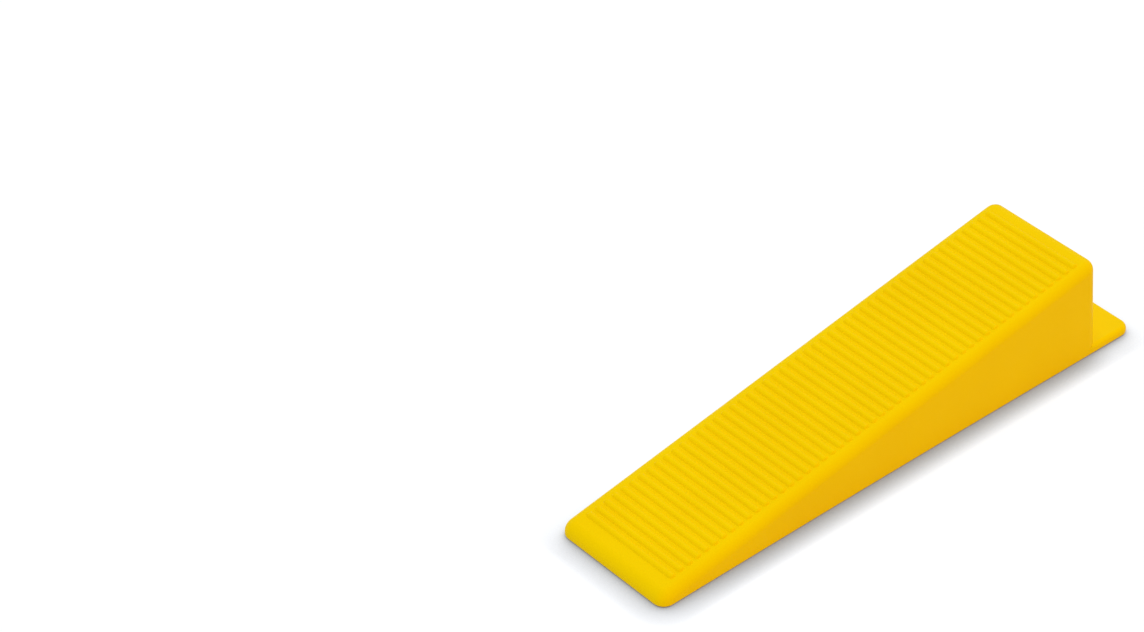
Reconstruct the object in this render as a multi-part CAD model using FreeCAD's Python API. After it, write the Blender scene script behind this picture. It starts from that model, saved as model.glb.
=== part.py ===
import FreeCAD, Part
import math
import os

# A moulded plastic wedge for levelling floor and wall tiles. It is pushed, toe first, through the
# window of a levelling clip, and its sloping deck draws the tiles flush. The wedge is a hollow shell
# that stands on the rim of its side walls: a deck on two side walls and a heel wall, one rib down the
# middle, a solid toe, and a flat tail tab behind the heel. Every wall is a node of its own, cut from
# one rounded envelope by shared planes, so that neighbours meet face to face.
#
# Frame: +X from the toe to the tail, +Z up from the rim plane, origin under the middle of the part.
# The left side is the one at the left hand of someone who stands at the heel and pushes: it is at -Y.

# Driving dimensions, in millimetres and degrees

body_length = 86.0          # toe edge to the foot of the heel wall
tab_length = 7.0            # how far the tail tab stands out behind the heel wall
base_width = 22.35          # across the rim that the wedge stands on
toe_height = 2.1            # deck above the rim plane at the toe edge
heel_height = 17.1          # deck above the rim plane over the foot of the heel wall
tab_thickness = 1.4         # rim plane to the top of the tail tab

side_draft = 1.4            # lean of each outer side
heel_draft = 1.2            # lean of the heel wall's outer face
core_draft = 1.0            # lean of every face inside the hollow

deck_thickness = 1.5
side_thickness = 2.0        # at the rim
heel_thickness = 1.2        # at the rim plane
rib_thickness = 1.16        # at the rib's lower edge
toe_land = 1.5              # solid strip between the toe edge and the hollow
tab_end_land = 1.15         # raised border at the tab's end
rib_step = 0.85             # the rib's lower edge above the rim plane
tab_step = 0.55             # the underside of the tab's floor above the rim plane

toe_corner_radius = 2.0     # in plan
heel_corner_radius = 1.95   # in plan
tab_corner_radius = 1.8     # in plan
deck_edge_radius = 1.65     # all round the deck

ridge_pitch = 1.625         # along the deck
ridge_width = 1.35
ridge_height = 0.3
ridge_end_gap = 0.05        # flat deck between a ridge's end and the rounded edge
toe_smooth = 3.2            # plain deck before the first ridge
heel_smooth = 2.0           # plain deck left after the last ridge, at least

# Places that follow from them

overall_length = body_length + tab_length
toe_x = -overall_length / 2
foot_x = toe_x + body_length
tail_x = toe_x + overall_length
half_width = base_width / 2
hollow_half_width = half_width - side_thickness
reach = 2 * (overall_length + base_width + heel_height)

slope = math.atan2(heel_height - toe_height, body_length)
side_lean = math.tan(math.radians(side_draft))
heel_lean = math.tan(math.radians(heel_draft))
core_lean = math.tan(math.radians(core_draft))
heel_top_z = heel_height / (1 + heel_lean * math.tan(slope))
heel_top_x = foot_x - heel_top_z * heel_lean

toe_edge = FreeCAD.Vector(toe_x, 0, toe_height)
along_deck = FreeCAD.Vector(math.cos(slope), 0, math.sin(slope))
off_deck = FreeCAD.Vector(-math.sin(slope), 0, math.cos(slope))


def prism(points, direction):
    """The closed outline through the points, extruded."""
    corners = [FreeCAD.Vector(*point) for point in points]
    return Part.Face(Part.makePolygon(corners + corners[:1])).extrude(direction)


def edges_where(shape, test):
    return [edge for edge in shape.Edges if test(edge)]


def is_upright(edge):
    start, end = edge.Vertexes[0].Point, edge.Vertexes[-1].Point
    run = end - start
    return abs(run.z) > abs(run.x) + abs(run.y)


def is_on_deck(edge):
    return all(abs((vertex.Point - toe_edge).dot(off_deck)) < 1e-4 for vertex in edge.Vertexes)


def rounded_envelope():
    """The outside of the whole wedge, as if it were solid, with its drafted sides and rounded edges."""
    side_outline = [
        (toe_x, -base_width, 0),
        (tail_x, -base_width, 0),
        (tail_x, -base_width, tab_thickness),
        (foot_x - tab_thickness * heel_lean, -base_width, tab_thickness),
        (heel_top_x, -base_width, heel_top_z),
        (toe_x, -base_width, toe_height),
    ]
    end_outline = [
        (-reach / 2, -half_width, 0),
        (-reach / 2, half_width, 0),
        (-reach / 2, half_width - heel_height * side_lean, heel_height),
        (-reach / 2, -half_width + heel_height * side_lean, heel_height),
    ]
    lengthways = prism(side_outline, FreeCAD.Vector(0, 2 * base_width, 0))
    shape = lengthways.common(prism(end_outline, FreeCAD.Vector(reach, 0, 0)))
    corners = [
        (toe_x, toe_corner_radius),
        (tail_x, tab_corner_radius),
        (heel_top_x, heel_corner_radius),
    ]
    for corner_x, radius in corners:
        nearest = edges_where(
            shape, lambda edge: is_upright(edge) and abs(edge.BoundBox.XMin - corner_x) < 1e-4
        )
        shape = shape.makeFillet(radius, nearest)
    return shape.makeFillet(deck_edge_radius, edges_where(shape, is_on_deck))


def beyond(point, normal):
    """A block that fills the side of a plane that its normal points to."""
    block = Part.makeBox(reach, reach, reach, FreeCAD.Vector(-reach / 2, -reach / 2, 0))
    block.Placement = FreeCAD.Placement(point, FreeCAD.Rotation(FreeCAD.Vector(0, 0, 1), normal))
    return block


def keep(shape, *planes):
    """What is left of the shape on the far side of every plane, given as (point, normal) pairs."""
    for point, normal in planes:
        shape = shape.common(beyond(point, normal))
    return shape


def back_of(plane):
    point, normal = plane
    return point, normal * -1


# Planes that the walls share, each with its normal out of the hollow

toe_plane = (FreeCAD.Vector(toe_x + toe_land, 0, 0), FreeCAD.Vector(-1, 0, 0))
heel_plane = (FreeCAD.Vector(foot_x - heel_thickness, 0, 0), FreeCAD.Vector(1, 0, core_lean))
ceiling_plane = (toe_edge - off_deck * deck_thickness, off_deck)
left_plane = (FreeCAD.Vector(0, -hollow_half_width, 0), FreeCAD.Vector(0, -1, core_lean))
right_plane = (FreeCAD.Vector(0, hollow_half_width, 0), FreeCAD.Vector(0, 1, core_lean))
rib_step_plane = (FreeCAD.Vector(0, 0, rib_step), FreeCAD.Vector(0, 0, 1))
tab_step_plane = (FreeCAD.Vector(0, 0, tab_step), FreeCAD.Vector(0, 0, 1))
tab_top_plane = (FreeCAD.Vector(0, 0, tab_thickness), FreeCAD.Vector(0, 0, 1))
tab_border_plane = (FreeCAD.Vector(tail_x - tab_end_land, 0, 0), FreeCAD.Vector(1, 0, 0))


def shell_nodes():
    """The walls round the hollow, from toe to heel."""
    envelope = rounded_envelope()
    middle = keep(envelope, back_of(toe_plane), back_of(heel_plane))
    between_sides = keep(middle, back_of(left_plane), back_of(right_plane))
    heel_end = keep(envelope, heel_plane)
    tab = keep(heel_end, back_of(tab_top_plane))
    tab_middle = keep(tab, back_of(left_plane), back_of(right_plane))
    return {
        "toe_nose": keep(envelope, toe_plane),
        "deck_plate": keep(between_sides, ceiling_plane),
        "left_side_wall": keep(middle, left_plane),
        "right_side_wall": keep(middle, right_plane),
        "centre_rib": centre_rib(between_sides),
        "heel_wall": keep(heel_end, tab_top_plane),
        "tab_plate": keep(tab_middle, tab_step_plane, back_of(tab_border_plane)),
        "tab_left_border": keep(tab, left_plane),
        "tab_right_border": keep(tab, right_plane),
        "tab_end_border": keep(tab_middle, tab_border_plane),
    }


def centre_rib(between_sides):
    """The rib under the deck, thinnest at its lower edge, which stays clear of the tile."""
    hang = keep(between_sides, back_of(ceiling_plane), rib_step_plane)
    half_rib = rib_thickness / 2
    left_face = (FreeCAD.Vector(0, -half_rib, rib_step), FreeCAD.Vector(0, 1, core_lean))
    right_face = (FreeCAD.Vector(0, half_rib, rib_step), FreeCAD.Vector(0, -1, core_lean))
    return keep(hang, left_face, right_face)


def ridge(centre, half_length):
    """One grip ridge: the part of a round-ended bar that stands above the deck."""
    radius = (ridge_width ** 2 / 4 + ridge_height ** 2) / (2 * ridge_height)
    axis_y = half_length - ridge_width / 2
    left_end = FreeCAD.Vector(0, -axis_y - radius, 0)
    left_turn = FreeCAD.Vector(0, -axis_y, radius)
    right_turn = FreeCAD.Vector(0, axis_y, radius)
    right_end = FreeCAD.Vector(0, axis_y + radius, 0)
    left_middle = FreeCAD.Vector(0, -axis_y - radius * math.sqrt(0.5), radius * math.sqrt(0.5))
    right_middle = FreeCAD.Vector(0, axis_y + radius * math.sqrt(0.5), radius * math.sqrt(0.5))
    half_outline = Part.Wire([
        Part.Arc(left_end, left_middle, left_turn).toShape(),
        Part.LineSegment(left_turn, right_turn).toShape(),
        Part.Arc(right_turn, right_middle, right_end).toShape(),
        Part.LineSegment(right_end, left_end).toShape(),
    ])
    bar = Part.Face(half_outline).revolve(FreeCAD.Vector(), FreeCAD.Vector(0, 1, 0), 360)
    bar.translate(centre - off_deck * (radius - ridge_height))
    return keep(bar, (toe_edge, off_deck))


def grip_ridges():
    """Ridges across the deck, one pitch apart, as many as fit between the two plain stretches."""
    half_length = half_width - heel_top_z * side_lean - deck_edge_radius - ridge_end_gap
    deck_length = (heel_top_x - toe_x) / math.cos(slope)
    room = deck_length - toe_smooth - heel_smooth - ridge_width
    count = math.floor(room / ridge_pitch) + 1
    first = ridge(toe_edge + along_deck * (toe_smooth + ridge_width / 2), half_length)
    ridges = []
    for number in range(count):
        copy = first.copy()
        copy.translate(along_deck * (number * ridge_pitch))
        ridges.append(copy)
    return Part.makeCompound(ridges)


nodes = shell_nodes()
nodes["grip_ridges"] = grip_ridges()

os.makedirs("parts", exist_ok=True)
for name, shape in nodes.items():
    shape.exportStep(f"parts/{name}.step")
    print(f"{name}: {len(shape.Solids)} solid(s), {shape.Volume:.1f} mm3")
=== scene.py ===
# %% [markdown]
# # A tile levelling wedge
# The real thing is one injection moulding of yellow polypropylene: a hollow wedge that is pushed,
# toe first, through the window of a levelling clip, and so presses two tiles level. Its parts list
# names eleven places on that one moulding. They could be made one by one, but the roundings run on
# from wall to wall, and eleven separate ones would never quite meet. So we model the moulding whole
# and then saw it into the named pieces, along planes that nobody sees. Only the rib and the ridges
# are made on their own. Each piece stands where its CAD node stands, so we start by loading the
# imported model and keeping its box.

import math

import bmesh
import bpy
from mathutils import Matrix, Vector


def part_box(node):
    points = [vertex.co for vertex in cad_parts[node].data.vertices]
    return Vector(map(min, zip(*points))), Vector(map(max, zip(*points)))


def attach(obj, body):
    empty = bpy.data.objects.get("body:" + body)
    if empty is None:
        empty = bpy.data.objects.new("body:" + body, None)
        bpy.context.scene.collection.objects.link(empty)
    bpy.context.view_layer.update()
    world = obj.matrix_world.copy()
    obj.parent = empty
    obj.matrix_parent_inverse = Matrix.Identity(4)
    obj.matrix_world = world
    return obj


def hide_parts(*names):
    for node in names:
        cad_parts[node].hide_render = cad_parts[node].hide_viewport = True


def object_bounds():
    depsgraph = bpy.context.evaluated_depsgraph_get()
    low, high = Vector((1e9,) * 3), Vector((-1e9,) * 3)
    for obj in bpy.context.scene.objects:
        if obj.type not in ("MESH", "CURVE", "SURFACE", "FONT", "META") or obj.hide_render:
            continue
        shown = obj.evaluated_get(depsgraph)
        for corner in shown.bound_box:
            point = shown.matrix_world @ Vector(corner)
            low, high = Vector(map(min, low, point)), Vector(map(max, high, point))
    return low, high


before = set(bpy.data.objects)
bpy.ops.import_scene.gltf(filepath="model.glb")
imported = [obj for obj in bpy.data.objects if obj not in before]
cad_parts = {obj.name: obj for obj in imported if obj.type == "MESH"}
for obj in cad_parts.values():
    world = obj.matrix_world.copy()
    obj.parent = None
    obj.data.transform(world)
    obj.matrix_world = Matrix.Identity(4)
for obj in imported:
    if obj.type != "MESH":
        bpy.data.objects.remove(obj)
cad_low, cad_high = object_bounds()
mm = 0.001
print("the CAD box in mm:", [round(side / mm, 2) for side in cad_high - cad_low])

# %% [markdown]
# ## The camera
# The wedge is seen from above its toe, over its left side. A short lens close by would make such a
# small thing look large, with edges that run together. So we use a long lens from more than half a
# metre away, which keeps the long edges nearly parallel, and lean the camera a little to one side.
# It comes first, because it needs nothing from the pieces.

# %% Stand the camera
camera_place = Vector((-324.1, -339.6, 390.3)) * mm
camera_aim = Vector((-13.0, 48.1, 0)) * mm
camera_lean = math.radians(2.25)
long_lens = 131.3

camera_data = bpy.data.cameras.new("studio_camera")
camera_data.lens = long_lens
camera = bpy.data.objects.new("studio_camera", camera_data)
bpy.context.scene.collection.objects.link(camera)
level_turn = (camera_place - camera_aim).to_track_quat("Z", "Y").to_matrix()
lean = Matrix.Rotation(-camera_lean, 3, "Z")
camera.matrix_world = Matrix.Translation(camera_place) @ (level_turn @ lean).to_4x4()
bpy.context.scene.camera = camera
print("camera distance in mm:", round((camera_place - camera_aim).length / mm))

# %% [markdown]
# ## Two hand tools
# Apart from its roundings, the steel mould of the wedge has flat faces only. Flat faces could be
# typed in corner by corner, but then each change means new sums. We cut them with planes instead,
# and two tools do most of the work. The saw takes away whatever lies beyond a plane and closes the
# cut with a lid. The scribe only draws the plane's line across the faces that it is given, which is
# how a face is divided before a part of it is pushed in or pulled out. Both are bmesh's
# bisect_plane.

# %% Saw and scribe
tailwards, rightwards, upwards = Vector((1, 0, 0)), Vector((0, 1, 0)), Vector((0, 0, 1))
on_the_plane = 0.00001 * mm
same_plane = math.radians(0.3)


def saw(shape, point, normal):
    """Takes away what lies on the side that the normal points to, and returns the lids."""
    everything = shape.verts[:] + shape.edges[:] + shape.faces[:]
    cut = bmesh.ops.bisect_plane(
        shape, geom=everything, dist=on_the_plane, plane_co=point, plane_no=normal, clear_outer=True
    )
    rim = [part for part in cut["geom_cut"] if isinstance(part, bmesh.types.BMEdge)]
    return bmesh.ops.holes_fill(shape, edges=rim)["faces"]


def scribe(shape, faces, point, normal):
    """Divides the faces along a plane, and takes nothing away."""
    edges = {edge for face in faces for edge in face.edges}
    corners = {corner for face in faces for corner in face.verts}
    bmesh.ops.bisect_plane(
        shape, geom=[*corners, *edges, *faces], dist=on_the_plane, plane_co=point, plane_no=normal
    )


def facing(shape, direction, closeness=0.99):
    """The faces that look in a direction, give or take a few degrees."""
    return [face for face in shape.faces if face.normal.dot(direction.normalized()) > closeness]


def merge_flat(shape):
    """Merges faces that lie in one plane, and then edges that lie in one line."""
    for _ in range(2):
        bmesh.ops.dissolve_limit(shape, angle_limit=same_plane, verts=shape.verts, edges=shape.edges)


print("faces count as one plane within", round(math.degrees(same_plane), 2), "degrees")

# %% [markdown]
# ## The plain wedge
# The body is a block that slopes from a thick heel to a thin toe, and its three standing walls lean
# in a little. That lean is called draft: without it the plastic would not let go of the steel. A
# cube with its corners moved would do, but sums of leans and slopes go wrong easily. We stretch a
# cube over the body and let the saw give it the deck's slope and each wall's lean, one cut each.

# %% Saw the block
slope_rise, slope_run = 15.0 * mm, 86.0 * mm
toe_height = 2.1 * mm
side_lean = math.tan(math.radians(1.4))
heel_lean = math.tan(math.radians(1.8))
tab_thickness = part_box("tab_end_border")[1].z
toe_x, tail_x, half_width = cad_low.x, cad_high.x, cad_high.y
foot_x = toe_x + slope_run
slope = math.atan2(slope_rise, slope_run)
up_from_deck = Vector((-math.sin(slope), 0, math.cos(slope)))
along_deck = Vector((math.cos(slope), 0, math.sin(slope)))
toe_edge = Vector((toe_x, 0, toe_height))

moulding = bmesh.new()
bmesh.ops.create_cube(moulding, size=1)
block_size = Vector((slope_run, 2 * half_width, toe_height + slope_rise))
bmesh.ops.scale(moulding, vec=block_size, verts=moulding.verts)
block_middle = Vector((toe_x + slope_run / 2, 0, block_size.z / 2))
bmesh.ops.translate(moulding, vec=block_middle, verts=moulding.verts)
saw(moulding, toe_edge, up_from_deck)
saw(moulding, tailwards * foot_x, Vector((1, 0, heel_lean)))
for side in (-1, 1):
    saw(moulding, rightwards * side * half_width, Vector((0, side, side_lean)))
print("block faces:", len(moulding.faces))

# %% [markdown]
# ## The tail tab
# The tab is a flat strip that grows out of the foot of the heel and gives fingers or pliers a hold.
# A second block could be stuck on, but it would leave a seam under the later roundings. So we
# scribe the heel at the tab's height and pull the lower strip out. Pulled a little too far and sawn
# off square, it ends exactly where the CAD says. Faces that now lie in one plane are merged, so
# that the roundings run on without a break. Last, both sides get a line at the tab's height, which
# the rounded heel corners will stand on.

# %% Pull out the tab
spare_length = 1 * mm
scribe(moulding, facing(moulding, tailwards), upwards * tab_thickness, upwards)
heel_strip = min(facing(moulding, tailwards), key=lambda face: face.calc_center_median().z)
pulled_strip = bmesh.ops.extrude_discrete_faces(moulding, faces=[heel_strip])["faces"][0]
pull = tailwards * (tail_x - foot_x + spare_length)
bmesh.ops.translate(moulding, vec=pull, verts=pulled_strip.verts)
saw(moulding, tailwards * tail_x, tailwards)
merge_flat(moulding)
for side in (-1, 1):
    scribe(moulding, facing(moulding, rightwards * side), upwards * tab_thickness, upwards)
print("block and tab faces:", len(moulding.faces))

# %% [markdown]
# ## Rounded corners
# No edge on a moulded wedge is sharp: the steel is rounded so that the plastic flows, and so that
# the wedge slides under a clip without catching. A Bevel modifier would round every edge alike. We
# call bevel on chosen edges, so that each pair of corners gets its own radius. The upright corners
# come first, because every later rounding then runs round them.

# %% Round the upright corners
def round_edges(shape, edges, radius, steps):
    """Rounds the edges and returns the faces of the rounding."""
    return bmesh.ops.bevel(
        shape,
        geom=edges,
        offset=radius,
        offset_type="OFFSET",
        segments=steps,
        profile=0.5,
        affect="EDGES",
        clamp_overlap=False,
        material=-1,
    )["faces"]


def middle_of(edge):
    return (edge.verts[0].co + edge.verts[1].co) / 2


def uprights_between(shape, low_x, high_x, steepness=0.9):
    """The edges between two places along the wedge that stand up, or nearly."""
    return [
        edge
        for edge in shape.edges
        if abs(edge.verts[1].co.z - edge.verts[0].co.z) > steepness * edge.calc_length()
        and low_x < middle_of(edge).x < high_x
    ]


toe_corner, heel_corner, tab_corner = 1.9 * mm, 1.85 * mm, 1.7 * mm
corner_steps = 8
# Places nearer together than this count as one place.
nearly = 0.01 * mm
# The heel leans, so its corners are looked for in a slice this thick.
heel_reach = 2 * mm
for low_x, high_x, radius in (
    (toe_x - nearly, toe_x + nearly, toe_corner),
    (foot_x - heel_reach, foot_x, heel_corner),
    (tail_x - nearly, tail_x + nearly, tab_corner),
):
    round_edges(moulding, uprights_between(moulding, low_x, high_x), radius, corner_steps)
merge_flat(moulding)
print("faces with rounded corners:", len(moulding.faces))

# %% [markdown]
# ## The rounded deck
# Of the long edges the deck's are rounded most, because the clip and the hand meet them. The
# rounding could be shaped with loops of faces, but bevel does it in one call. We find the deck as
# the largest face that looks up from the slope, and bevel all its edges: the rounding then follows
# them round the four corners by itself.

# %% Round the deck
deck_round, deck_steps = 1.65 * mm, 8
deck_face = max(facing(moulding, up_from_deck), key=lambda face: face.calc_area())
round_edges(moulding, deck_face.edges[:], deck_round, deck_steps)
print("faces with a rounded deck:", len(moulding.faces))

# %% [markdown]
# ## The rounded tab
# The tab's upper edge is rounded too, and the rounding dies away where the heel's corner grows out
# of the tab. A bevel alone would stop there with a little step. We scribe two lines across the
# tab's edge, bevel from the first of them, and gather the bevel's first arc back into one point on
# the edge, so that the rounding grows from nothing to its full width between the two lines.

# %% Round the tab
# A surface turns at least so much at a sharp edge, in radians.
sharp_turn = 1.0


def lies_at(edge, height):
    return all(abs(corner.co.z - height) < nearly for corner in edge.verts)


tab_round, tab_steps = 0.7 * mm, 5
rounding_start, rounding_full = foot_x - 1.2 * mm, foot_x - 0.2 * mm
for line_x in (rounding_start, rounding_full):
    tab_faces = [
        face for face in moulding.faces if max(corner.co.x for corner in face.verts) > foot_x + nearly
    ]
    scribe(moulding, tab_faces, tailwards * line_x, tailwards)
tab_edge = [
    edge
    for edge in moulding.edges
    if middle_of(edge).x > rounding_start + nearly
    and lies_at(edge, tab_thickness)
    and edge.is_convex
    and edge.calc_face_angle() > sharp_turn
]
tab_rounding = round_edges(moulding, tab_edge, tab_round, tab_steps)
print("faces of the tab's rounding:", len(tab_rounding))

# %% Let the rounding run out
rounding_corners = {corner for face in tab_rounding for corner in face.verts}
first_corners = [
    corner
    for corner in moulding.verts
    if corner in rounding_corners and abs(corner.co.x - rounding_start) < nearly
]
left_arc = [corner for corner in first_corners if corner.co.y < 0]
right_arc = [corner for corner in first_corners if corner.co.y > 0]
for first_arc, side in ((left_arc, -1), (right_arc, 1)):
    edge_y = side * (half_width - side_lean * tab_thickness)
    run_out = Vector((rounding_start, edge_y, tab_thickness))
    bmesh.ops.pointmerge(moulding, verts=first_arc, merge_co=run_out)
print("faces with a rounded tab:", len(moulding.faces))

# %% [markdown]
# ## The rounded rim
# The wedge stands on a thin flat rim, and its outer edge has only a hint of a rounding, where the
# two halves of the mould part. It could be left sharp, but a sharp edge shows no line of light. The
# bevel needs few steps here. Afterwards faces in one plane are merged again, which takes off the
# lines that were scribed for the tab.

# %% Round the rim
def flat_underside(shape, height):
    """The faces that look straight down, at a height."""
    return [
        face
        for face in facing(shape, -upwards)
        if abs(face.calc_center_median().z - height) < nearly
    ]


rim_round, rim_steps = 0.3 * mm, 3
underside_edges = [edge for face in flat_underside(moulding, 0) for edge in face.edges]
rim_edges = [edge for edge in underside_edges if edge.calc_face_angle() > sharp_turn]
round_edges(moulding, rim_edges, rim_round, rim_steps)
merge_flat(moulding)
print("faces with a rounded rim:", len(moulding.faces))

# %% [markdown]
# ## The outline of the hollow
# The real wedge is cored out from below, so that every wall cools evenly and does not sink. A
# Boolean could take a second wedge out of the first, but it leaves ragged faces that can't be
# rounded well. We scribe the outline of the core on the flat underside instead, and push faces in.
# First we work out the core: it narrows as it goes in, which is its own draft, its ceiling runs
# parallel to the deck, and behind the heel it is only the shallow tray under the tab.

# %% Scribe the core's outline
core_lean = math.tan(math.radians(1.0))
deck_thickness, side_thickness, heel_thickness = 1.5 * mm, 2.0 * mm, 1.2 * mm
core_half_width = half_width - side_thickness
toe_land_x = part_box("toe_nose")[1].x
tray_end_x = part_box("tab_end_border")[0].x
tray_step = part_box("tab_plate")[0].z


def core_side(height):
    return core_half_width - height * core_lean


def core_heel(height):
    return foot_x - heel_thickness - height * core_lean


def ceiling_height(x):
    run = x - toe_x
    return toe_height + run * math.tan(slope) - deck_thickness / math.cos(slope)


for point, normal in (
    (rightwards * -core_half_width, rightwards),
    (rightwards * core_half_width, rightwards),
    (tailwards * toe_land_x, tailwards),
    (tailwards * tray_end_x, tailwards),
):
    scribe(moulding, flat_underside(moulding, 0), point, normal)
print("faces of the scribed underside:", len(flat_underside(moulding, 0)))

# %% [markdown]
# ## The hollow
# Now the middle goes in by the tray's small step, and the part between toe and heel goes on up to
# the ceiling. A plain extrusion would make upright walls, which then had to be leaned one by one.
# So each push sets the corners of the face down at their new places, which makes the leaning walls
# at the same time.

# %% Push the core in
def push_in(shape, face, new_place):
    """Pushes a face into the shape, and sets each of its corners down at its new place."""
    floor = bmesh.ops.extrude_discrete_faces(shape, faces=[face])["faces"][0]
    for corner in floor.verts:
        corner.co = new_place(corner.co)
    return floor


def on_the_tray(corner):
    return Vector((corner.x, math.copysign(core_side(tray_step), corner.y), tray_step))


ceiling_heel_x = (core_heel(0) - core_lean * ceiling_height(0)) / (1 + core_lean * math.tan(slope))


def on_the_ceiling(corner):
    x = toe_land_x if corner.x < 0 else ceiling_heel_x
    height = ceiling_height(x)
    return Vector((x, math.copysign(core_side(height), corner.y), height))


mouth = min(flat_underside(moulding, 0), key=lambda face: face.calc_center_median().xy.length)
tray = push_in(moulding, mouth, on_the_tray)
scribe(moulding, [tray], tailwards * core_heel(tray_step), tailwards)
core_floor = min(flat_underside(moulding, tray_step), key=lambda face: face.calc_center_median().x)
push_in(moulding, core_floor, on_the_ceiling)
merge_flat(moulding)
depths = [round(ceiling_height(x) / mm, 2) for x in (toe_land_x, ceiling_heel_x)]
print("depth of the hollow in mm, at the toe and at the heel:", depths)

# %% [markdown]
# ## A clean rim
# The flat rim that is left is a ring, and no single face can be a ring, so the scribe's lines still
# join its inner edge to its outer one. They could stay where they end at the mouth's corners, but
# they would fold over when those corners are rounded. So we draw two lines along the middle, one
# at each end of the wedge, and take the others off.

# %% Take the lines off the rim
# A surface turns less than this where it is flat, in radians.
flat_turn = 0.01
scribe(moulding, flat_underside(moulding, 0), Vector(), rightwards)
corner_lines = [
    edge
    for edge in moulding.edges
    if lies_at(edge, 0)
    and edge.calc_face_angle() < flat_turn
    and abs(middle_of(edge).y) > nearly
]
bmesh.ops.dissolve_edges(moulding, edges=corner_lines, use_verts=True)
print("lines taken off the rim:", len(corner_lines))

# %% [markdown]
# ## The rounded inside
# The core's edges are rounded as well, because a sharp inner corner is where a wall would crack
# when the wedge is knocked out. One bevel could do them all, but the mouth, which is the rim's
# inner edge, is rounded more. So the edges inside go first, along the ceiling, up the corners and
# round the tray, and a second, wider bevel does the mouth.

# %% Round the inside
core_round, mouth_round, core_steps = 0.2 * mm, 0.33 * mm, 4
# The core's edges turn more than this, in radians, and the roundings made before turn less.
core_turn = 0.5


def core_edges(shape):
    """The edges of the core that are still sharp."""
    return [
        edge
        for edge in shape.edges
        if all(
            abs(corner.co.y) < core_half_width + nearly
            and toe_land_x - nearly < corner.co.x < tray_end_x + nearly
            for corner in edge.verts
        )
        and edge.calc_face_angle() > core_turn
    ]


inner_edges = [edge for edge in core_edges(moulding) if not lies_at(edge, 0)]
round_edges(moulding, inner_edges, core_round, core_steps)
bmesh.ops.recalc_face_normals(moulding, faces=moulding.faces)
mouth_edges = [edge for edge in core_edges(moulding) if lies_at(edge, 0)]
print("edges rounded inside:", len(inner_edges), "and at the mouth:", len(mouth_edges))
round_edges(moulding, mouth_edges, mouth_round, core_steps)
bmesh.ops.recalc_face_normals(moulding, faces=moulding.faces)
open_edges = [edge for edge in moulding.edges if not edge.is_manifold]
print("the moulding:", len(moulding.faces), "faces,", len(open_edges), "open edges")
print("its volume in cubic mm:", round(moulding.calc_volume() / mm**3))

# %% [markdown]
# ## Walls that draw in
# Plastic shrinks as it cools, and a long free wall is drawn in at mid-length, where neither the toe
# nor the heel holds it. So the rims of the side walls are nearer together in the middle than at the
# ends, and the deck above keeps its width. A lattice could bend the walls, but a formula says it in
# one line. We give the walls upright lines with the scribe, and then move every corner inwards by
# its share: most at mid-length and at the rim, nothing at the ends and at the ceiling.

# %% Draw the side walls in
draw_in = 0.2 * mm
strips = 12
for station in range(1, strips):
    station_x = toe_x + slope_run * station / strips
    scribe(moulding, moulding.faces[:], tailwards * station_x, tailwards)
for corner in moulding.verts:
    along = min(max((corner.co.x - toe_x) / slope_run, 0), 1)
    free_height = ceiling_height(corner.co.x)
    rim_share = max(0, 1 - corner.co.z / free_height) if free_height > 0 else 0
    side_share = min(1, abs(corner.co.y) / core_half_width)
    inwards = draw_in * math.sin(math.pi * along) * rim_share * side_share
    corner.co.y -= math.copysign(inwards, corner.co.y)
print("moulding with drawn-in walls:", len(moulding.faces), "faces")

# %% [markdown]
# ## Noise for the plastic
# No moulding is the same all over: melt cools unevenly as it flows, and the mould's spark-cut steel
# prints a fine grain on it. Painted images could show that, but they would need unwrapped meshes.
# Noise on object coordinates needs none, and it runs on from piece to piece, because every piece
# has its origin at the same place. Noise stays near a half, so a second helper stretches it into
# the range that is wanted.

# %% Two helpers for noise
noise_low, noise_high = 0.3, 0.7


def add_node(tree, kind, **settings):
    node = tree.nodes.new(kind)
    for name, value in settings.items():
        setattr(node, name, value)
    return node


def noise(tree, size, detail):
    """Noise whose lumps are about the given size across."""
    place = add_node(tree, "ShaderNodeTexCoord")
    grain = add_node(tree, "ShaderNodeTexNoise")
    grain.inputs["Scale"].default_value = 1 / size
    grain.inputs["Detail"].default_value = detail
    tree.links.new(place.outputs["Object"], grain.inputs["Vector"])
    return grain.outputs["Fac"]


def between(tree, factor, low, high):
    """Turns a noise into a number that goes from low to high."""
    span = add_node(tree, "ShaderNodeMapRange")
    span.inputs["From Min"].default_value = noise_low
    span.inputs["From Max"].default_value = noise_high
    span.inputs["To Min"].default_value = low
    span.inputs["To Max"].default_value = high
    tree.links.new(factor, span.inputs["Value"])
    return span.outputs["Result"]


print("noise is stretched from", noise_low, "and", noise_high)

# %% [markdown]
# ## The plastic
# Polypropylene with a strong yellow pigment is opaque and satin. A plain yellow shader would look
# like paint, so three noises are laid on it: the colour drifts a very little over a centimetre or
# two, the gloss drifts over a few millimetres, and the fine grain breaks up the highlights as a
# bump. Reflections are turned far down and tinted yellow. In light from all round, full white ones
# would lie over the colour like a veil.

# %% Mix the yellow plastic
deep_yellow, light_yellow = (0.915, 0.62, 0.0, 1), (0.935, 0.65, 0.0, 1)
reflection_tint, reflection_level = (1.0, 0.75, 0.1, 1), 0.03
colour_drift, gloss_drift, grain_size = 15 * mm, 4 * mm, 0.12 * mm
glossiest, dullest = 0.42, 0.5
grain_depth, grain_strength = 0.01 * mm, 0.15


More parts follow.
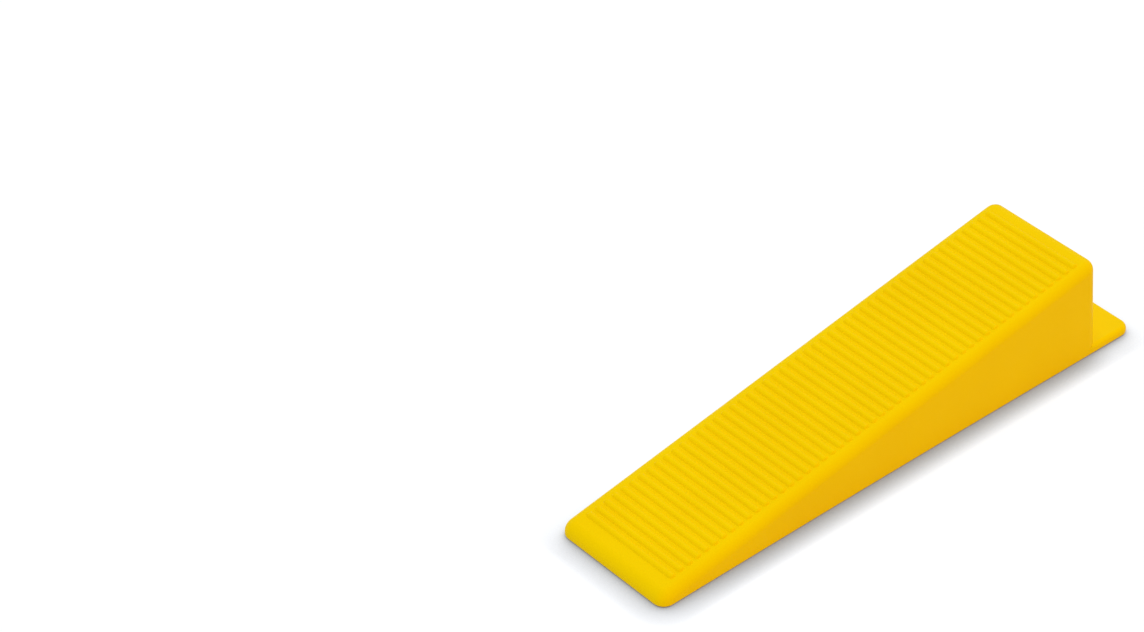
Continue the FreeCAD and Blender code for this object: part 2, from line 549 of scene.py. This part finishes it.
def yellow_polypropylene():
    finish = bpy.data.materials.new("yellow_polypropylene")
    finish.use_nodes = True
    tree = finish.node_tree
    skin = tree.nodes["Principled BSDF"]
    skin.inputs["Specular IOR Level"].default_value = reflection_level
    skin.inputs["Specular Tint"].default_value = reflection_tint

    blend = add_node(tree, "ShaderNodeMix", data_type="RGBA")
    blend.inputs["A"].default_value = deep_yellow
    blend.inputs["B"].default_value = light_yellow
    tree.links.new(between(tree, noise(tree, colour_drift, 2), 0, 1), blend.inputs["Factor"])
    tree.links.new(blend.outputs["Result"], skin.inputs["Base Color"])

    gloss = between(tree, noise(tree, gloss_drift, 3), glossiest, dullest)
    tree.links.new(gloss, skin.inputs["Roughness"])

    bump = add_node(tree, "ShaderNodeBump")
    bump.inputs["Strength"].default_value = grain_strength
    bump.inputs["Distance"].default_value = grain_depth
    tree.links.new(noise(tree, grain_size, 2), bump.inputs["Height"])
    tree.links.new(bump.outputs["Normal"], skin.inputs["Normal"])
    return finish


plastic = yellow_polypropylene()
print("plastic nodes:", len(plastic.node_tree.nodes))

# %% [markdown]
# ## From shape to piece
# A shape becomes a piece when it has a mesh, the plastic, and its place in the assembly: it rides on
# the body, and the CAD node that it stands for is hidden. The plastic has flat walls beside
# small roundings. Smooth shading alone would make the flats look dished, and flat shading would
# show every step of the roundings. So edges that turn sharply stay sharp, and a Weighted Normal
# modifier lets the large faces say how the small ones beside them are shaded.

# %% Make a piece
sharp_corner = math.radians(40)


def size_in_mm(low, high):
    return [round(side / mm, 2) for side in high - low]


def make_piece(node, shape):
    """Turns a shape into the piece that stands for a CAD node, and prints its size."""
    for face in shape.faces:
        face.smooth = True
    for edge in shape.edges:
        if edge.calc_face_angle(0) > sharp_corner:
            edge.smooth = False
    mesh = bpy.data.meshes.new("moulded_" + node)
    shape.to_mesh(mesh)
    shape.free()
    mesh.materials.append(plastic)
    piece = bpy.data.objects.new("moulded_" + node, mesh)
    bpy.context.scene.collection.objects.link(piece)
    normals = piece.modifiers.new("even_shading", "WEIGHTED_NORMAL")
    normals.keep_sharp = True
    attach(piece, "root")
    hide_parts(node)
    made_low = Vector([min(corner.co[axis] for corner in mesh.vertices) for axis in range(3)])
    made_high = Vector([max(corner.co[axis] for corner in mesh.vertices) for axis in range(3)])
    print(piece.name, len(mesh.polygons), "faces, size in mm", size_in_mm(made_low, made_high))


print("an edge stays sharp above", round(math.degrees(sharp_corner)), "degrees")

# %% [markdown]
# ## Sawing the moulding into its named pieces
# The parts list divides the walls along flat planes. Our walls meet in roundings, and a saw that ran
# along a rounding would leave a ragged edge. The pieces could also be separated face by face, but
# then each would be open at the back. So we saw copies of the whole moulding, which closes every
# cut, and each cut keeps a little off the CAD's plane, on the flat beside the rounding. The lids
# have sharp edges and touch the neighbour's lid, so nothing of them shows.

# %% Saw out the pieces
def back_of(cut):
    point, normal = cut
    return point, -normal


off_the_rounding, off_the_corner, off_the_tab = 0.45 * mm, 0.15 * mm, 0.1 * mm
toe_cut = (tailwards * (toe_x + toe_corner + off_the_corner), tailwards)
heel_cut = (tailwards * (foot_x - heel_corner - off_the_corner), Vector((-1, 0, -heel_lean)))
left_cut = (rightwards * (off_the_rounding - core_half_width), Vector((0, 1, -core_lean)))
right_cut = (rightwards * (core_half_width - off_the_rounding), Vector((0, -1, -core_lean)))
tab_cut = (upwards * (tab_thickness + off_the_tab), upwards)
tray_cut = (tailwards * (tray_end_x - off_the_rounding), -tailwards)

body_cuts = [back_of(toe_cut), back_of(heel_cut)]
middle_cuts = [back_of(left_cut), back_of(right_cut)]
tab_cuts = [heel_cut, tab_cut]
shell_cuts = {
    "toe_nose": [toe_cut],
    "deck_plate": body_cuts + middle_cuts,
    "left_side_wall": body_cuts + [left_cut],
    "right_side_wall": body_cuts + [right_cut],
    "heel_wall": [heel_cut, back_of(tab_cut)],
    "tab_plate": tab_cuts + middle_cuts + [back_of(tray_cut)],
    "tab_left_border": tab_cuts + [left_cut],
    "tab_right_border": tab_cuts + [right_cut],
    "tab_end_border": tab_cuts + middle_cuts + [tray_cut],
}
for node, cuts in shell_cuts.items():
    piece_shape = moulding.copy()
    for point, normal in cuts:
        for lid in saw(piece_shape, point, normal):
            for edge in lid.edges:
                edge.smooth = False
    make_piece(node, piece_shape)
moulding.free()

# %% [markdown]
# ## The rib under the deck
# One rib runs down the middle of the hollow and keeps the deck from dishing when the wedge is driven
# in. It is widest at the ceiling, where it flares into it, and its lower edge stays clear of the
# tile. A thin box could be stretched to fit, but it would not flare. We start from a strip that is
# hidden in the deck, scribe the rib's width on its underside, and push the rib down out of it. The
# strip and both ends are sunk in the walls around, so that no gap can show.

# %% Push the rib down
rib_half_thickness = 0.58 * mm
rib_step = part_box("centre_rib")[0].z
flare, sunk, strip_margin = 0.35 * mm, 0.2 * mm, 0.05 * mm
strip_underside, strip_top = 0.02 * mm, 0.5 * mm
strip_length = ceiling_heel_x - toe_land_x
root_half_thickness = rib_half_thickness + core_lean * ceiling_height(ceiling_heel_x)
strip_half_width = root_half_thickness + flare + strip_margin

rib = bmesh.new()
bmesh.ops.create_cube(rib, size=1)
bmesh.ops.scale(rib, vec=Vector((2 * strip_length, 2 * strip_half_width, 1)), verts=rib.verts)
under_ceiling = Vector((toe_land_x, 0, ceiling_height(toe_land_x)))
saw(rib, under_ceiling + up_from_deck * strip_top, up_from_deck)
saw(rib, under_ceiling + up_from_deck * strip_underside, -up_from_deck)
saw(rib, tailwards * (toe_land_x - sunk), -tailwards)
saw(rib, tailwards * (core_heel(0) + sunk), Vector((1, 0, core_lean)))
for side in (-1, 1):
    rib_side = Vector((0, side * rib_half_thickness, rib_step))
    scribe(rib, facing(rib, -up_from_deck), rib_side, Vector((0, side, -core_lean)))
rib_root = min(facing(rib, -up_from_deck), key=lambda face: abs(face.calc_center_median().y))


def on_the_rib_edge(corner):
    x = toe_land_x - sunk if corner.x < 0 else core_heel(rib_step) + sunk
    return Vector((x, math.copysign(rib_half_thickness, corner.y), rib_step))


push_in(rib, rib_root, on_the_rib_edge)
print("rib faces before the rounding:", len(rib.faces))

# %% [markdown]
# ## The rib's roundings
# Where the rib meets the ceiling it flares out, so that no crack starts there, and its free edge is
# rounded. A section drawn with both could be swept along, but the rib gets lower all the way to the
# toe. So both are bevels: on an inward edge bevel fills the corner, and on an outward one it takes
# the corner off. The rib has no height left where it runs into the toe, so the free edge's rounding
# starts from nothing there, and reaches its full size at the heel.

# %% Flare the root and round the free edge
rib_edge_round, rib_steps = 0.45 * mm, 4


def long_edges(shape):
    return [edge for edge in shape.edges if edge.calc_length() > strip_length / 2]


flare_edges = [
    edge
    for edge in long_edges(rib)
    if abs(middle_of(edge).y) < strip_half_width - nearly
    and abs(middle_of(edge).z - rib_step) > nearly
]
round_edges(rib, flare_edges, flare, rib_steps)
free_edges = [edge for edge in long_edges(rib) if abs(middle_of(edge).z - rib_step) < nearly]
round_edges(rib, free_edges, rib_edge_round, rib_steps)
bmesh.ops.recalc_face_normals(rib, faces=rib.faces)
print("rounded edges of the rib:", len(flare_edges), "at the root and", len(free_edges), "free")
make_piece("centre_rib", rib)

# %% [markdown]
# ## The outline of a grip ridge
# Fifty low ridges across the deck click past the window of the clip and keep the wedge from backing
# out. One ridge is a soft hump: a round crest that runs out into the deck in a small hollow. A bump
# map could fake them, but at a low angle their outline shows. Half the outline is two arcs that
# meet on a slope and turn by the same angle, so one point spun twice draws it. The ridge reaches a
# hair below the deck, so that no gap opens under it.

# %% Spin half the outline
ridge_pitch, ridge_width, ridge_height = 1.625 * mm, 1.5 * mm, 0.36 * mm
ridge_sunk, ridge_end_depth, past_the_cad = 0.03 * mm, 0.55 * mm, 0.3 * mm
crest_steps, foot_steps, end_steps = 4, 3, 10
# The crest's radius and the foot's add up to a length, of which this share is the crest's.
crest_share = 0.72
ridge_half_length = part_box("grip_ridges")[1].y + past_the_cad
end_centre = Vector((0, ridge_half_length - ridge_end_depth, 0))
rise = ridge_height + ridge_sunk
turn = 2 * math.atan(rise / (ridge_width / 2))
both_radii = ridge_width / 2 / math.sin(turn)
crest_radius = crest_share * both_radii

ridge = bmesh.new()
crest = ridge.verts.new(end_centre + upwards * ridge_height)
crest_centre = end_centre + upwards * (ridge_height - crest_radius)
crest_arc = bmesh.ops.spin(
    ridge, geom=[crest], cent=crest_centre, axis=rightwards, angle=turn, steps=crest_steps
)["geom_last"]
shoulder = [part for part in crest_arc if isinstance(part, bmesh.types.BMVert)]
foot_centre = crest_centre + Vector((math.sin(turn), 0, math.cos(turn))) * both_radii
bmesh.ops.spin(
    ridge, geom=shoulder, cent=foot_centre, axis=rightwards, angle=-turn, steps=foot_steps
)
print("points of half the outline:", len(ridge.verts))

# %% [markdown]
# ## The whole ridge
# A ridge ends in a rounded slope, a little shorter than half its width. Spinning the half outline
# half a turn about the upright makes a round end, and a scale along the ridge presses it shorter.
# Then its open edge is pulled to the middle of the deck, and mirrored there. The hole underneath is
# filled. Mirroring turns faces inside out, so their normals are worked out again at the end.

# %% Shape one ridge
same_place = 0.0001 * mm


def open_edges_of(shape):
    return [edge for edge in shape.edges if edge.is_boundary]


bmesh.ops.spin(
    ridge,
    geom=ridge.verts[:] + ridge.edges[:],
    cent=end_centre,
    axis=upwards,
    angle=math.pi,
    steps=end_steps,
)
bmesh.ops.remove_doubles(ridge, verts=ridge.verts, dist=same_place)
end_shortening = Vector((1, ridge_end_depth / (ridge_width / 2), 1))
bmesh.ops.scale(
    ridge, vec=end_shortening, space=Matrix.Translation(-end_centre), verts=ridge.verts
)
inner_end = [
    edge
    for edge in open_edges_of(ridge)
    if all(abs(corner.co.y - end_centre.y) < nearly for corner in edge.verts)
]
pulled = bmesh.ops.extrude_edge_only(ridge, edges=inner_end)["geom"]
pulled_corners = [part for part in pulled if isinstance(part, bmesh.types.BMVert)]
bmesh.ops.translate(ridge, vec=-end_centre, verts=pulled_corners)
everything = ridge.verts[:] + ridge.edges[:] + ridge.faces[:]
bmesh.ops.mirror(ridge, geom=everything, merge_dist=same_place, axis="Y")
bmesh.ops.holes_fill(ridge, edges=open_edges_of(ridge))
merge_flat(ridge)
bmesh.ops.recalc_face_normals(ridge, faces=ridge.faces)
print("one ridge:", len(ridge.faces), "faces,", len(open_edges_of(ridge)), "open edges")

# %% [markdown]
# ## Fifty ridges on the deck
# The ridges stand one pitch apart, from a plain strip at the toe up to the heel. An Array modifier
# could repeat them, but it would have to be applied before the piece can be measured. A loop is as
# short: the ridge is tilted to the deck once, kept as a pattern, and copied into one mesh again and
# again. The first one stands where the CAD's does, whose ridge is a little narrower at its foot.

# %% Lay the ridges on the deck
ridge_count = 50
plain_toe, cad_ridge_width = 3.2 * mm, 1.35 * mm
first_ridge = toe_edge + along_deck * (plain_toe + cad_ridge_width / 2)
tilt = Matrix.Rotation(-slope, 3, "Y")
bmesh.ops.rotate(ridge, cent=Vector(), matrix=tilt, verts=ridge.verts)
pattern = bpy.data.meshes.new("one_ridge")
ridge.to_mesh(pattern)
ridge.free()
ridges = bmesh.new()
for number in range(ridge_count):
    ridges.from_mesh(pattern)
    newest = ridges.verts[-len(pattern.vertices):]
    place = first_ridge + along_deck * ridge_pitch * number
    bmesh.ops.translate(ridges, vec=place, verts=newest)
bpy.data.meshes.remove(pattern)
make_piece("grip_ridges", ridges)

# %% [markdown]
# ## The floor
# The wedge stands on a plain white floor, and its shadow is soft and short, and lies in front of its
# left side and its toe. Shadows of lamps would do, but a floor lit brightly enough to be white
# throws much light back at the wedge. So the floor is two papers in one. The light that bounces
# meets matt paper. The camera and reflections see a paper that glows almost white by itself and is
# only faintly lit. Ambient Occlusion dims that glow near the wedge, and its normal leans to the
# back, so that the dimming gathers in front. The faint part is a little blue, because the wedge
# throws yellow on it.

# %% Shade the glow
glow_strength = 0.83
shadow_reach, shadow_depth = 4 * mm, 1.45
shadow_lean = Vector((1, 1, 1.6)).normalized()
occlusion_samples = 8


def shaded_glow(tree):
    """A white glow that is dimmer near the wedge, most of all in front of it."""
    nearness = add_node(tree, "ShaderNodeAmbientOcclusion", samples=occlusion_samples)
    nearness.inputs["Distance"].default_value = shadow_reach
    leaning = add_node(tree, "ShaderNodeCombineXYZ")
    for socket, share in zip(leaning.inputs, shadow_lean):
        socket.default_value = share
    tree.links.new(leaning.outputs["Vector"], nearness.inputs["Normal"])
    deeper = add_node(tree, "ShaderNodeGamma")
    deeper.inputs["Gamma"].default_value = shadow_depth
    tree.links.new(nearness.outputs["Color"], deeper.inputs["Color"])
    glow = add_node(tree, "ShaderNodeEmission")
    glow.inputs["Strength"].default_value = glow_strength
    tree.links.new(deeper.outputs["Color"], glow.inputs["Color"])
    return glow.outputs["Emission"]


print("the shadow reaches", round(shadow_reach / mm, 1), "mm from the wedge")

# %% Mix the white paper
matt_colour, faint_colour = (0.8, 0.8, 0.8, 1), (0.185, 0.205, 0.235, 1)


def seen_directly(tree):
    """1 for the camera's own rays and for what is mirrored or seen through, and 0 for the rest."""
    rays = add_node(tree, "ShaderNodeLightPath")
    seen = rays.outputs["Is Camera Ray"]
    for other_rays in ("Is Glossy Ray", "Is Transmission Ray"):
        either = add_node(tree, "ShaderNodeMath", operation="MAXIMUM")
        tree.links.new(seen, either.inputs[0])
        tree.links.new(rays.outputs[other_rays], either.inputs[1])
        seen = either.outputs["Value"]
    return seen


def white_paper():
    finish = bpy.data.materials.new("white_paper")
    finish.use_nodes = True
    tree = finish.node_tree
    tree.nodes.clear()
    matt = add_node(tree, "ShaderNodeBsdfDiffuse")
    matt.inputs["Color"].default_value = matt_colour
    faint = add_node(tree, "ShaderNodeBsdfDiffuse")
    faint.inputs["Color"].default_value = faint_colour
    lit_glow = add_node(tree, "ShaderNodeAddShader")
    tree.links.new(faint.outputs["BSDF"], lit_glow.inputs[0])
    tree.links.new(shaded_glow(tree), lit_glow.inputs[1])
    choose = add_node(tree, "ShaderNodeMixShader")
    tree.links.new(seen_directly(tree), choose.inputs["Fac"])
    tree.links.new(matt.outputs["BSDF"], choose.inputs[1])
    tree.links.new(lit_glow.outputs["Shader"], choose.inputs[2])
    output = add_node(tree, "ShaderNodeOutputMaterial")
    tree.links.new(choose.outputs["Shader"], output.inputs["Surface"])
    return finish


paper = white_paper()
print("paper nodes:", len(paper.node_tree.nodes))

# %% Lay the floor
floor_reach = 3
floor_shape = bmesh.new()
bmesh.ops.create_grid(floor_shape, x_segments=1, y_segments=1, size=floor_reach)
floor_mesh = bpy.data.meshes.new("studio_floor")
floor_shape.to_mesh(floor_mesh)
floor_shape.free()
floor_mesh.materials.append(paper)
floor = bpy.data.objects.new("studio_floor", floor_mesh)
bpy.context.scene.collection.objects.link(floor)
print("floor width in metres:", floor.dimensions.x)

# %% [markdown]
# ## The light
# Small parts are usually lit softly from all round, so that nothing has a hard shadow. A bright sky
# alone would do that, but then the deck and the sides would look alike. So a plain white sky gives
# most of the light, and four soft boxes shape the wedge: one above brightens the deck, one behind
# lights the crests of the ridges, one in front of the toe lights its rounding, and a low warm one
# keeps the shaded left side from turning greenish.

# %% Hang the lamps
sky_strength = 0.67
sky = bpy.data.worlds.new("studio_sky")
sky.use_nodes = True
sky_light = sky.node_tree.nodes["Background"]
sky_light.inputs["Color"].default_value = (1, 1, 1, 1)
sky_light.inputs["Strength"].default_value = sky_strength
bpy.context.scene.world = sky


def hang_lamp(name, place, size, power, colour=(1, 1, 1)):
    """A square soft box that looks at the middle of the wedge."""
    lamp_data = bpy.data.lights.new(name, "AREA")
    lamp_data.size = size
    lamp_data.energy = power
    lamp_data.color = colour
    lamp = bpy.data.objects.new(name, lamp_data)
    bpy.context.scene.collection.objects.link(lamp)
    lamp.location = place
    lamp.rotation_euler = Vector(place).to_track_quat("Z", "Y").to_euler()
    print(name, "hangs", round(Vector(place).length, 2), "m away, at", power, "watts")


hang_lamp("top_softbox", place=(0.05, 0, 1.35), size=0.6, power=4.6)
hang_lamp("back_softbox", place=(0.9, 0.55, 0.9), size=0.7, power=1.75)
hang_lamp("toe_softbox", place=(-1.1, 0.25, 0.35), size=0.6, power=0.9)
hang_lamp("warm_fill", place=(0.1, -1.1, 0.2), size=0.4, power=2.0, colour=(1, 0.04, 0.0))
bpy.context.scene.view_settings.view_transform = "Standard"
